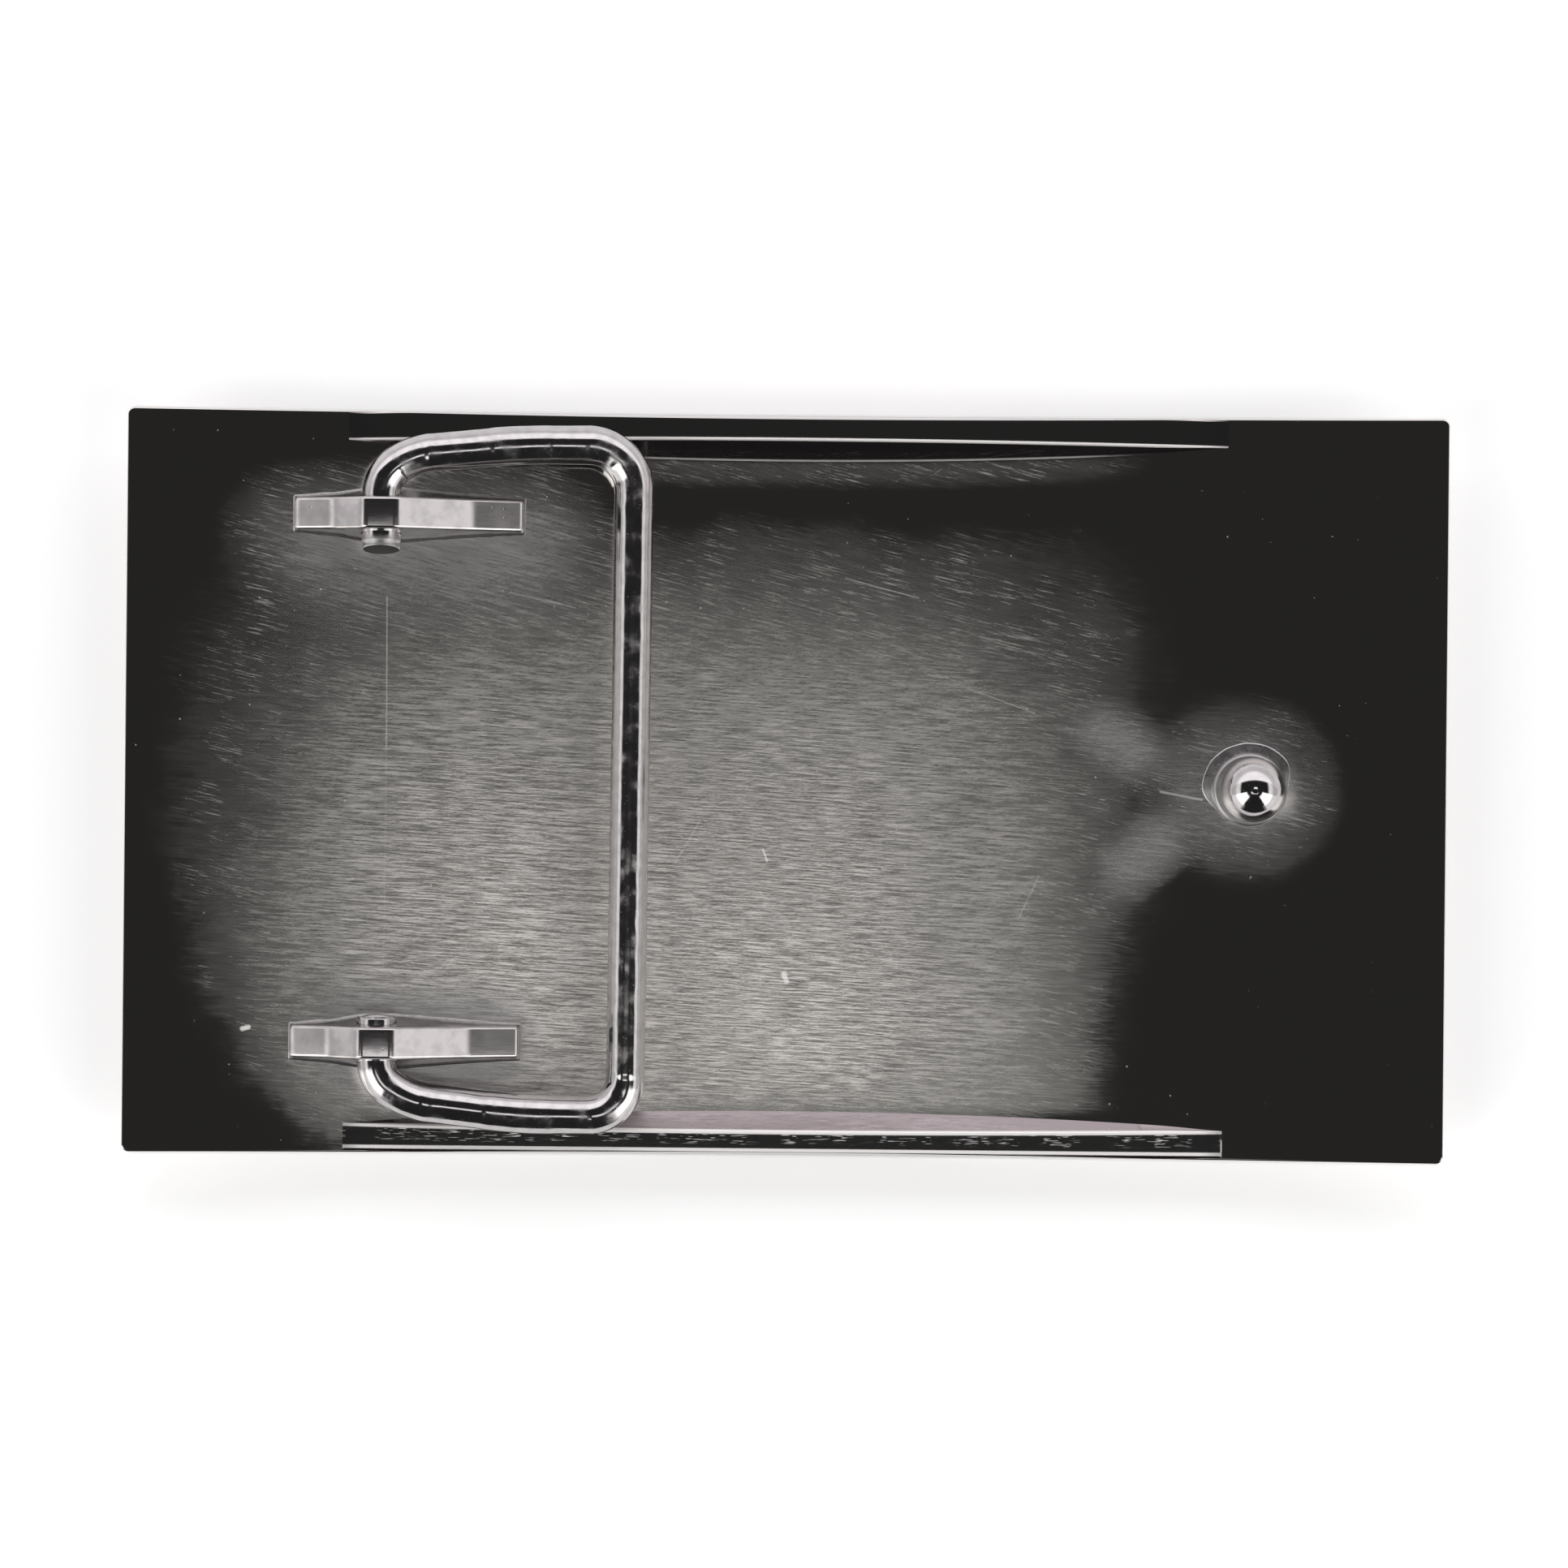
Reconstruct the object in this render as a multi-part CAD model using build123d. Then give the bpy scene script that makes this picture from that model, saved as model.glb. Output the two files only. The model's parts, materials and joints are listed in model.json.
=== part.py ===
"""Plate belt buckle, lying on its convex front face with its back, and all its fittings, facing up.

A bent rectangular plate carries two edge rails, two ears that hold a swinging wire loop, and a hook stud.
X runs along the belt, from the loop's end towards the stud. Y runs across the belt. Z points out of the back.
The origin is on the front face, under the middle of the plate. All sizes are in millimetres.
"""

from build123d import *
import math
import os

# Face plate
plate_length = 90.0  # along the belt, end to end
plate_width = 51.1  # across the belt, over the front face
plate_thickness = 2.0
bend_radius = 240.0  # of the concave back face
long_edge_lean = 0.25  # how far each long edge leans in, from the front face to the back
corner_radius = 0.5
front_bevel = 0.3
back_edge_round = 0.12

# Edge rails: straight bars that fill the plate's bend along its two long edges
rail_length = 60.4
rail_end_step = 0.10  # height of each rail's end above the plate
rail_lean = 0.28  # how far the outer wall leans in over the rail's height at its middle
rail_face_width = 1.42  # flat face, across the belt, at the middle of the rail
rail_inner_bow = 0.30  # how far the flat face's inner edge stands out at the middle of the rail
rail_inner_run = 1.30  # how far the sloping inner wall spreads from the flat face down to the plate
rail_edge_round = 0.12

# Wire loop
loop_middle_y = 0.25  # the loop and its ears sit this far off the plate's middle line
wire_diameter = 2.65
pivot_x = -27.6
pivot_height = 2.45  # pivot axis above the plate's back face
loop_reach = 17.4  # pivot axis to the axis of the strap bar
arm_overlap = 0.48  # how far each arm's outer side lies over its rail
arm_spread = 0.55  # how much further out each arm is at the strap bar than where it leaves the pivot
arm_knee_share = 0.55  # share of the reach at which the arm has spread to its full width
shoulder_bend = 2.50
arm_bend = 60.0
upper_bar_bend = 3.1
lower_bar_bend = 2.5
upper_end_reach = 2.75  # middle of the ear to the end of the wire that comes through it
lower_end_reach = 1.95
wire_end_round = 0.35
loop_rest_gap = 0.12  # arms to rails when the loop is folded down

# Ears
ear_to_bend = 1.75  # middle of each ear to where the wire starts to bend
ear_front_reach = 6.10  # pivot axis to the end of the ear nearer the plate's end
ear_back_reach = 9.60  # pivot axis to the end of the ear nearer the plate's middle
ear_crest_length = 2.20
ear_crest_wall = 0.90  # metal above the pivot hole
ear_end_height = 0.80
ear_flank_sag = 0.28  # how far each sloping flank is hollowed
ear_face_width = 2.10
ear_draft = 8.7  # lean of the side walls, degrees
ear_crest_round = 0.70
pivot_clearance = 0.05  # radial, wire in its ear

# Hook stud
stud_x = 31.6
stud_collar_diameter = 5.0
stud_collar_height = 0.80
stud_neck_diameter = 3.0
stud_head_diameter = 4.4
stud_head_land = 0.50  # straight part at the widest point of the head
stud_head_height = 4.70  # plate's back face to the middle of the head
stud_head_flat = 0.10  # how much the tip is flattened
stud_collar_round = 0.20

# Braze that holds the ears and the stud
braze_thickness = 0.15
braze_margin = 0.35  # around each ear
stud_braze_margin = 0.80  # around the stud's collar

# Worked out from the sizes above
bend_centre_z = plate_thickness + bend_radius
wire_radius = wire_diameter / 2
half_length = plate_length / 2
front_half_width = plate_width / 2
back_half_width = front_half_width - long_edge_lean
overrun = 2.0  # how far cutting shapes run past what they cut


def back_z(x):
    """Height of the plate's back face at x."""
    return bend_centre_z - math.sqrt(bend_radius**2 - x**2)


rail_top_z = back_z(rail_length / 2) + rail_end_step
rail_height = rail_top_z - plate_thickness
rail_inner_y = back_half_width - rail_lean - rail_face_width
loop_half_width = rail_inner_y + arm_overlap - wire_radius
shoulder_half_width = loop_half_width - arm_spread
ear_y = shoulder_half_width - shoulder_bend - ear_to_bend
pivot_z = back_z(pivot_x) + pivot_height
crest_z = pivot_z + wire_radius + pivot_clearance + ear_crest_wall

# The folded loop tilts down until its arms are loop_rest_gap above the flat faces of the rails.
arm_axis_rise = wire_radius + loop_rest_gap
arm_contact_x = loop_reach - lower_bar_bend
loop_rest_tilt = math.degrees(math.asin((pivot_z - rail_top_z - arm_axis_rise) / arm_contact_x))


def bend_cylinder(radius):
    """Solid cylinder about the plate's bend axis; what is inside bend_radius lies above the back face."""
    return Pos(0, 0, bend_centre_z) * Rot(90, 0, 0) * Cylinder(radius, 2 * plate_width)


def bent_bar(section_points):
    """The closed section given as (y, z) at x = 0, revolved about the bend axis to past both plate ends."""
    half_angle = math.degrees(math.asin((half_length + overrun) / bend_radius))
    section = make_face(Polyline([(0, y, z) for y, z in section_points], close=True))
    axis = Axis((0, 0, bend_centre_z), (0, 1, 0))
    return revolve(section.rotate(axis, -half_angle), axis, 2 * half_angle)


def face_plate():
    plate = bent_bar(
        [
            (-front_half_width, 0),
            (front_half_width, 0),
            (back_half_width, plate_thickness),
            (-back_half_width, plate_thickness),
        ]
    )
    plate &= Box(plate_length, 2 * plate_width, 4 * plate_width)
    corners = plate.edges().filter_by(lambda e: abs(e.center().X) > half_length - 0.01)
    corners = corners.filter_by(lambda e: abs(e.center().Y) > back_half_width - 0.5)
    plate = fillet(corners, corner_radius)
    front = plate.faces().sort_by(lambda f: f.center().Z)[0]
    plate = chamfer(front.edges(), front_bevel)
    back = plate.faces().filter_by(lambda f: f.area > plate_length * plate_width / 2)
    back = back.sort_by(lambda f: f.center().Z)[-1]
    return fillet(back.edges(), back_edge_round)


def edge_rail(side):
    """side is 1 for the rail at +Y and -1 for the one at -Y."""
    half = rail_length / 2
    far_y = front_half_width + overrun
    end_y = rail_inner_y - rail_inner_bow
    top_face = make_face(
        ThreePointArc((-half, end_y), (0, rail_inner_y), (half, end_y))
        + Polyline((half, end_y), (half, far_y), (-half, far_y), (-half, end_y))
    )
    wall_angle = math.degrees(math.atan2(rail_inner_run, rail_height))
    depth = rail_height + overrun
    bar = extrude(Pos(0, 0, rail_top_z) * top_face, depth, dir=(0, 0, -1), taper=-wall_angle)
    bar &= Box(rail_length, 4 * far_y, 4 * rail_top_z)
    above_z = rail_top_z + overrun
    above_y = back_half_width - rail_lean * (above_z - plate_thickness) / rail_height
    envelope = bent_bar([(0, plate_thickness), (back_half_width, plate_thickness), (above_y, above_z), (0, above_z)])
    rail = bar & envelope & bend_cylinder(bend_radius)
    top = rail.faces().sort_by(Axis.Z)[-1]
    long_edges = top.edges().filter_by(lambda e: e.length > half)
    rail = fillet(long_edges, rail_edge_round)
    return rail if side > 0 else mirror(rail, Plane.XZ)


def ear_outline(margin):
    """Plan of an ear at the level of the plate under the pivot, x from the pivot and y from the ear's middle."""
    spread = math.tan(math.radians(ear_draft))
    base_z = back_z(pivot_x)

    def half_width(top_z):
        return ear_face_width / 2 + spread * (top_z - base_z) + margin

    front = half_width(back_z(pivot_x - ear_front_reach) + ear_end_height)
    middle = half_width(crest_z)
    back = half_width(back_z(pivot_x + ear_back_reach) + ear_end_height)
    crest = ear_crest_length / 2
    side = [
        (-ear_front_reach - margin, front),
        (-crest, middle),
        (crest, middle),
        (ear_back_reach + margin, back),
    ]
    return make_face(Polyline(side + [(x, -y) for x, y in reversed(side)], close=True))


def ear_body():
    """An ear with no pivot hole, centred on y = 0, that runs on down through the plate."""
    low = back_z(pivot_x + ear_back_reach) - overrun
    spread = math.tan(math.radians(ear_draft))
    foot = offset(ear_outline(0), spread * (back_z(pivot_x) - low), kind=Kind.INTERSECTION)
    walls = extrude(Pos(pivot_x, 0, low) * foot, crest_z + overrun - low, taper=ear_draft)
    crest = ear_crest_length / 2
    front_end = (pivot_x - ear_front_reach, back_z(pivot_x - ear_front_reach) + ear_end_height)
    back_end = (pivot_x + ear_back_reach, back_z(pivot_x + ear_back_reach) + ear_end_height)
    front_crest = (pivot_x - crest, crest_z)
    back_crest = (pivot_x + crest, crest_z)
    profile = make_face(
        Plane.XZ
        * (
            Line((front_end[0], low), front_end)
            + SagittaArc(front_end, front_crest, -ear_flank_sag)
            + Line(front_crest, back_crest)
            + SagittaArc(back_crest, back_end, -ear_flank_sag)
            + Polyline(back_end, (back_end[0], low), (front_end[0], low))
        )
    )
    return walls & extrude(profile, 2 * ear_face_width, both=True)


def ear(side):
    body = ear_body() & bend_cylinder(bend_radius)
    shoulders = body.edges().filter_by(Axis.Y).filter_by(lambda e: abs(e.center().Z - crest_z) < 0.01)
    body = fillet(shoulders, ear_crest_round)
    hole = Pos(pivot_x, 0, pivot_z) * Rot(90, 0, 0) * Cylinder(wire_radius + pivot_clearance, 4 * ear_face_width)
    return Pos(0, loop_middle_y + side * ear_y, 0) * (body - hole)


def wire_loop():
    knee_x = arm_knee_share * loop_reach
    upper_end_y = ear_y - upper_end_reach
    lower_end_y = lower_end_reach - ear_y
    path = FilletPolyline(
        (0, upper_end_y),
        (0, shoulder_half_width),
        (knee_x, loop_half_width),
        (loop_reach, loop_half_width),
        (loop_reach, -loop_half_width),
        (knee_x, -loop_half_width),
        (0, -shoulder_half_width),
        (0, lower_end_y),
        radius=[shoulder_bend, arm_bend, upper_bar_bend, lower_bar_bend, arm_bend, shoulder_bend],
    )
    start = Plane(origin=(0, upper_end_y, 0), z_dir=(0, 1, 0))
    wire = sweep(start * Circle(wire_radius), path)
    end_faces = wire.faces().filter_by(GeomType.PLANE)
    wire = fillet(end_faces.edges(), wire_end_round)
    return Pos(pivot_x, loop_middle_y, pivot_z) * Rot(0, loop_rest_tilt, 0) * wire


def hook_stud():
    base_z = back_z(stud_x)
    foot_z = back_z(stud_x - stud_collar_diameter) - overrun
    collar_z = base_z + stud_collar_height
    collar_r = stud_collar_diameter / 2
    neck_r = stud_neck_diameter / 2
    head_r = stud_head_diameter / 2
    low_centre = base_z + stud_head_height - stud_head_land / 2
    high_centre = low_centre + stud_head_land
    neck_top = low_centre - math.sqrt(head_r**2 - neck_r**2)
    flat_r = math.sqrt(head_r**2 - (head_r - stud_head_flat) ** 2)
    tip_z = high_centre + head_r - stud_head_flat

    def on_head(centre, degrees):
        angle = math.radians(degrees)
        return (head_r * math.cos(angle), centre + head_r * math.sin(angle))

    low_mid = -math.degrees(math.acos(neck_r / head_r)) / 2
    high_mid = math.degrees(math.acos(flat_r / head_r)) / 2
    outline = make_face(
        Plane.XZ
        * (
            Polyline(
                (0, foot_z),
                (collar_r, foot_z),
                (collar_r, collar_z - stud_collar_round),
                (collar_r - stud_collar_round, collar_z),
                (neck_r, collar_z),
                (neck_r, neck_top),
            )
            + ThreePointArc((neck_r, neck_top), on_head(low_centre, low_mid), (head_r, low_centre))
            + Line((head_r, low_centre), (head_r, high_centre))
            + ThreePointArc((head_r, high_centre), on_head(high_centre, high_mid), (flat_r, tip_z))
            + Polyline((flat_r, tip_z), (0, tip_z), (0, foot_z))
        )
    )
    stud = Pos(stud_x, 0, 0) * revolve(outline, Axis.Z)
    return stud & bend_cylinder(bend_radius)


def braze_skin(outline_prism):
    """The layer, braze_thickness deep, that a vertical prism cuts from just above the plate's back face."""
    return outline_prism & bend_cylinder(bend_radius) - bend_cylinder(bend_radius - braze_thickness)


def ear_braze(side):
    top_z = back_z(pivot_x - ear_front_reach - braze_margin) + overrun
    prism = extrude(Pos(pivot_x, 0, 0) * ear_outline(braze_margin), top_z)
    return Pos(0, loop_middle_y + side * ear_y, 0) * (braze_skin(prism) - ear_body())


def stud_braze():
    collar_r = stud_collar_diameter / 2
    height = back_z(stud_x + stud_collar_diameter) + overrun
    disc = Pos(stud_x, 0, height / 2) * Cylinder(collar_r + stud_braze_margin, height)
    collar = Pos(stud_x, 0, height / 2) * Cylinder(collar_r, height)
    return braze_skin(disc) - collar


parts = {
    "face_plate": face_plate(),
    "upper_edge_rail": edge_rail(1),
    "lower_edge_rail": edge_rail(-1),
    "upper_loop_ear": ear(1),
    "lower_loop_ear": ear(-1),
    "wire_loop": wire_loop(),
    "hook_stud": hook_stud(),
    "upper_ear_braze": ear_braze(1),
    "lower_ear_braze": ear_braze(-1),
    "stud_braze": stud_braze(),
}

os.makedirs("parts", exist_ok=True)
for name, shape in parts.items():
    export_step(shape, f"parts/{name}.step")
bar_x = pivot_x + loop_reach * math.cos(math.radians(loop_rest_tilt))
bar_z = pivot_z - loop_reach * math.sin(math.radians(loop_rest_tilt))
print(f"loop pivot: x {pivot_x:.4f}, y {loop_middle_y:.4f}, z {pivot_z:.4f}")
print(f"strap bar, loop folded: x {bar_x:.4f}, z {bar_z:.4f}, rest tilt {loop_rest_tilt:.4f} degrees")
print(f"stud head: x {stud_x:.4f}, z {back_z(stud_x) + stud_head_height:.4f}, radius {stud_head_diameter / 2:.4f}")
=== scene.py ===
"""Looks for the plate belt buckle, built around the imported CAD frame. Lengths inside are in millimetres."""

import json
import math
import random

import bmesh
import bpy
from mathutils import Matrix, Vector, noise


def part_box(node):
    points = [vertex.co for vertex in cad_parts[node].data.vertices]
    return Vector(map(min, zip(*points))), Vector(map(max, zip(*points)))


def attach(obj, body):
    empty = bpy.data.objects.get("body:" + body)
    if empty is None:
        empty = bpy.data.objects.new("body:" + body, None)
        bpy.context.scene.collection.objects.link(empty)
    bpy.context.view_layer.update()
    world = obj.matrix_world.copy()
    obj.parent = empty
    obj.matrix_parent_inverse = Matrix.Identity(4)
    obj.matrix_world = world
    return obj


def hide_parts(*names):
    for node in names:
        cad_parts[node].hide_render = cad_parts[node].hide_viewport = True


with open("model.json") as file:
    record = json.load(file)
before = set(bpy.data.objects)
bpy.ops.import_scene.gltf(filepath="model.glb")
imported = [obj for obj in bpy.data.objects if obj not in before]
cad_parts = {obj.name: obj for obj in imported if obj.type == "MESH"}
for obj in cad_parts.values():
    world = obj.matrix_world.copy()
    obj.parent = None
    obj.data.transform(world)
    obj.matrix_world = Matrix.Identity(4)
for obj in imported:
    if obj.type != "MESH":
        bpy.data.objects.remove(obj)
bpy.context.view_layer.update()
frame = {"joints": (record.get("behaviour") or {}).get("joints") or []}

MM = 0.001

# ---------------------------------------------------------------- sizes read from the frame


def box_mm(node):
    """Lowest and highest corner of a CAD node, in millimetres."""
    low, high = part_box(node)
    return Vector(low) / MM, Vector(high) / MM


PLATE_THICKNESS = 2.0
WIRE_RADIUS = 1.325
STUD_NECK_RADIUS = 1.5
EAR_FACE_HALF = 1.05
EAR_DRAFT = math.tan(math.radians(8.7))
EDGE_LEAN = 0.23

plate_low, plate_high = box_mm("face_plate")
half_length = plate_high.x
front_half_width = plate_high.y
back_half_width = front_half_width - EDGE_LEAN
end_rise = plate_high.z - PLATE_THICKNESS
bend_radius = (half_length**2 + end_rise**2) / (2 * end_rise)
bend_centre_z = PLATE_THICKNESS + bend_radius


def back_z(x):
    """Height of the plate's back face at x."""
    return bend_centre_z - math.sqrt(bend_radius**2 - x * x)


hinge = next(j for j in frame["joints"] if j["type"] == "hinge")
pivot = Vector(hinge["pos_m"]) / MM
rail_low, rail_high = box_mm("upper_edge_rail")
ear_low, ear_high = box_mm("upper_loop_ear")
loop_low, loop_high = box_mm("wire_loop")
stud_low, stud_high = box_mm("hook_stud")
stud_x = (stud_low.x + stud_high.x) / 2
upper_ear_y = (ear_low.y + ear_high.y) / 2
ear_offset = upper_ear_y - pivot.y

RAIL_LEAN = 0.28
RAIL_FACE_WIDTH = 1.42
RAIL_INNER_BOW = 0.30
RAIL_INNER_RUN = 1.30
RAIL_FOOT_CURVE = 0.00102  # how far the bars' inner feet move outward as the plate rises, per mm of x squared
rail_outer_y = back_half_width + 0.02
rail_inner_middle = back_half_width - RAIL_LEAN - RAIL_FACE_WIDTH

# ---------------------------------------------------------------- mesh helpers


def smooth_step(low, high, value):
    t = min(1.0, max(0.0, (value - low) / (high - low)))
    return t * t * (3 - 2 * t)


def mesh_piece(name, vertices, faces, material, body, slot, replaced=None, weighted=True):
    """A piece from points in millimetres, smooth shaded, that rides on a body."""
    mesh = bpy.data.meshes.new(name)
    mesh.from_pydata([tuple(Vector(v) * MM) for v in vertices], [], faces)
    mesh.validate()
    work = bmesh.new()
    work.from_mesh(mesh)
    bmesh.ops.recalc_face_normals(work, faces=work.faces)
    work.to_mesh(mesh)
    work.free()
    return finish_piece(name, mesh, material, body, replaced, weighted)


def shade_smooth(mesh):
    mesh.polygons.foreach_set("use_smooth", [True] * len(mesh.polygons))


def keep_flats(piece, sharp_degrees):
    """Leaves flat faces flat in a smooth-shaded piece, and edges above the angle sharp."""
    piece.data.set_sharp_from_angle(angle=math.radians(sharp_degrees))
    weighted = piece.modifiers.new("flat_faces_stay_flat", "WEIGHTED_NORMAL")
    weighted.mode = "FACE_AREA"
    weighted.weight = 90
    weighted.keep_sharp = True


def finish_piece(name, mesh, material, body, replaced=None, weighted=True):
    """Makes the mesh a piece of the scene. weighted is off for a piece that stays smooth or is cut later."""
    shade_smooth(mesh)
    mesh.materials.clear()
    mesh.materials.append(material)
    piece = bpy.data.objects.new(name, mesh)
    bpy.context.scene.collection.objects.link(piece)
    if weighted:
        keep_flats(piece, 38)
    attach(piece, body)
    if replaced:
        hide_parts(replaced)
    return piece


def loft(rings):
    """Vertices and faces of closed rings joined in order and capped. All rings have as many points."""
    count = len(rings[0])
    vertices = [point for ring in rings for point in ring]
    faces = []
    for r in range(len(rings) - 1):
        for i in range(count):
            j = (i + 1) % count
            a, b = r * count, (r + 1) * count
            faces.append((a + i, a + j, b + j, b + i))
    faces.append(tuple(range(count)))
    last = (len(rings) - 1) * count
    faces.append(tuple(last + i for i in range(count)))
    return vertices, faces


def ring_round(rings):
    """Vertices and faces of closed rings joined in order and back to the first, like a tyre."""
    count, total = len(rings[0]), len(rings)
    vertices = [point for ring in rings for point in ring]
    faces = []
    for r in range(total):
        for i in range(count):
            j, n = (i + 1) % count, (r + 1) % total
            faces.append((r * count + i, r * count + j, n * count + j, n * count + i))
    return vertices, faces


def around(sides):
    """The angles of points spaced evenly round a circle."""
    return [2 * math.pi * k / sides for k in range(sides)]


def rounded_outline(corners, radii, steps=5):
    """Points of a closed 2-D outline whose corners are rounded to the given radii."""
    points = []
    count = len(corners)
    for i, (corner, radius) in enumerate(zip(corners, radii)):
        here = Vector(corner)
        before = (Vector(corners[i - 1]) - here).normalized()
        after = (Vector(corners[(i + 1) % count]) - here).normalized()
        if radius <= 0:
            points.extend([here.copy()] * (steps + 1))
            continue
        half_turn = before.angle(after) / 2
        reach = radius / math.tan(half_turn)
        start, end = here + before * reach, here + after * reach
        centre = here + (before + after).normalized() * (radius / math.sin(half_turn))
        for k in range(steps + 1):
            t = k / steps
            direction = (start - centre).slerp(end - centre, t).normalized()
            points.append(centre + direction * radius)
    return points


# ---------------------------------------------------------------- procedural materials


class Graph:
    """Short calls for wiring shader nodes."""

    def __init__(self, tree):
        self.tree = tree

    def node(self, kind, **settings):
        made = self.tree.nodes.new(kind)
        for key, value in settings.items():
            setattr(made, key, value)
        return made

    def feed(self, socket, value):
        if isinstance(value, bpy.types.NodeSocket):
            self.tree.links.new(value, socket)
        else:
            socket.default_value = value

    def math(self, operation, *values, clamp=False):
        made = self.node("ShaderNodeMath", operation=operation, use_clamp=clamp)
        for socket, value in zip(made.inputs, values):
            self.feed(socket, value)
        return made.outputs[0]

    def vector_math(self, operation, *values):
        made = self.node("ShaderNodeVectorMath", operation=operation)
        for socket, value in zip(made.inputs, values):
            self.feed(socket, value)
        return made.outputs[0]

    def split(self, vector):
        made = self.node("ShaderNodeSeparateXYZ")
        self.feed(made.inputs[0], vector)
        return made.outputs

    def step(self, value, low, high, to_low=0.0, to_high=1.0):
        """Smooth step of value from low to high, which may run downwards."""
        made = self.node("ShaderNodeMapRange", interpolation_type="SMOOTHSTEP")
        if low > high:
            low, high, to_low, to_high = high, low, to_high, to_low
        for socket, number in zip(made.inputs, (value, low, high, to_low, to_high)):
            self.feed(socket, number)
        return made.outputs[0]

    def noise(self, vector, scale, detail=3.0, roughness=0.5, distortion=0.0):
        made = self.node("ShaderNodeTexNoise")
        self.feed(made.inputs["Vector"], vector)
        for key, value in (("Scale", scale), ("Detail", detail), ("Roughness", roughness)):
            made.inputs[key].default_value = value
        made.inputs["Distortion"].default_value = distortion
        return made.outputs["Fac"]

    def cells(self, vector, scale):
        made = self.node("ShaderNodeTexVoronoi")
        self.feed(made.inputs["Vector"], vector)
        made.inputs["Scale"].default_value = scale
        return made.outputs

    def mix(self, share, first, second):
        made = self.node("ShaderNodeMix", data_type="RGBA")
        self.feed(made.inputs[0], share)
        for socket, colour in zip((made.inputs[6], made.inputs[7]), (first, second)):
            self.feed(socket, (*colour, 1.0) if isinstance(colour, tuple) else colour)
        return made.outputs[2]

    def fold(self, operation, values):
        """All the values put together, two at a time."""
        result = values[0]
        for value in values[1:]:
            result = self.math(operation, result, value)
        return result

    def total(self, *values):
        return self.fold("ADD", values)

    def product(self, *values):
        return self.fold("MULTIPLY", values)

    def largest(self, *values):
        return self.fold("MAXIMUM", values)

    def millimetres(self):
        """The point being shaded, in the part's own frame, in millimetres."""
        place = self.node("ShaderNodeTexCoord").outputs["Object"]
        scaled = self.node("ShaderNodeVectorMath", operation="SCALE")
        self.feed(scaled.inputs[0], place)
        scaled.inputs["Scale"].default_value = 1 / MM
        return scaled.outputs[0]

    def drawn(self, place, sizes, turn=0.0, **settings):
        """Noise drawn out along one way: its sizes in mm along each axis, after a turn in degrees about Z."""
        made = self.node("ShaderNodeMapping", vector_type="TEXTURE")
        self.feed(made.inputs["Vector"], place)
        made.inputs["Rotation"].default_value = (0, 0, math.radians(turn))
        made.inputs["Scale"].default_value = sizes
        return self.noise(made.outputs[0], 1.0, **settings)

    def near_line(self, place, start, end, inner, outer):
        """1 within inner of the line from start to end, falling to 0 at outer, in plan."""
        flat = self.vector_math("MULTIPLY", place, (1, 1, 0))
        start, end = Vector((*start, 0)), Vector((*end, 0))
        along = end - start
        share = self.node("ShaderNodeVectorMath", operation="DOT_PRODUCT")
        self.feed(share.inputs[0], self.vector_math("SUBTRACT", flat, tuple(start)))
        share.inputs[1].default_value = tuple(along / along.length_squared)
        held = self.math("ADD", share.outputs["Value"], 0.0, clamp=True)
        nearest = self.node("ShaderNodeVectorMath", operation="SCALE")
        nearest.inputs[0].default_value = tuple(along)
        self.feed(nearest.inputs["Scale"], held)
        away = self.node("ShaderNodeVectorMath", operation="DISTANCE")
        self.feed(away.inputs[0], self.vector_math("SUBTRACT", flat, tuple(start)))
        self.feed(away.inputs[1], nearest.outputs[0])
        return self.step(away.outputs["Value"], outer, inner)


def metal(name):
    """A new metal material: its graph and its shader node."""
    material = bpy.data.materials.new(name)
    material.use_nodes = True
    graph = Graph(material.node_tree)
    shader = material.node_tree.nodes["Principled BSDF"]
    shader.inputs["Metallic"].default_value = 1.0
    return material, graph, shader


def bump(graph, shader, height, strength, distance_mm):
    made = graph.node("ShaderNodeBump")
    made.inputs["Strength"].default_value = strength
    made.inputs["Distance"].default_value = distance_mm * MM
    graph.feed(made.inputs["Height"], height)
    graph.feed(shader.inputs["Normal"], made.outputs["Normal"])


BRIGHT_NICKEL = (0.50, 0.482, 0.485)

# Start, end, inner and outer half width, and depth of the deeper scratches and pits in the back, in plan.
PLATE_MARKS = (
    ((pivot.x + 0.3, 12.6), (pivot.x + 0.35, 2.2), 0.01, 0.08, 0.32),
    ((pivot.x + 0.35, 2.2), (pivot.x + 0.3, -13.0), 0.01, 0.07, 0.16),
    ((-7.5, -5.4), (-5.8, -2.4), 0.01, 0.07, 0.4),
    ((-1.5, -4.4), (-1.2, -5.2), 0.03, 0.10, 0.8),
    ((0.0, -12.9), (0.2, -13.4), 0.08, 0.26, 0.9),
    ((-36.8, -16.9), (-36.4, -16.8), 0.06, 0.24, 1.0),
    ((25.6, -0.2), (28.4, -0.7), 0.02, 0.12, 0.45),
    ((4.0, 14.2), (9.0, 12.9), 0.01, 0.06, 0.35),
    ((16.0, -9.0), (17.4, -6.0), 0.01, 0.06, 0.3),
    ((-19.0, 13.0), (-14.5, 12.0), 0.01, 0.06, 0.3),
    ((12.0, 6.9), (17.0, 5.1), 0.01, 0.06, 0.3),
)


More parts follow.
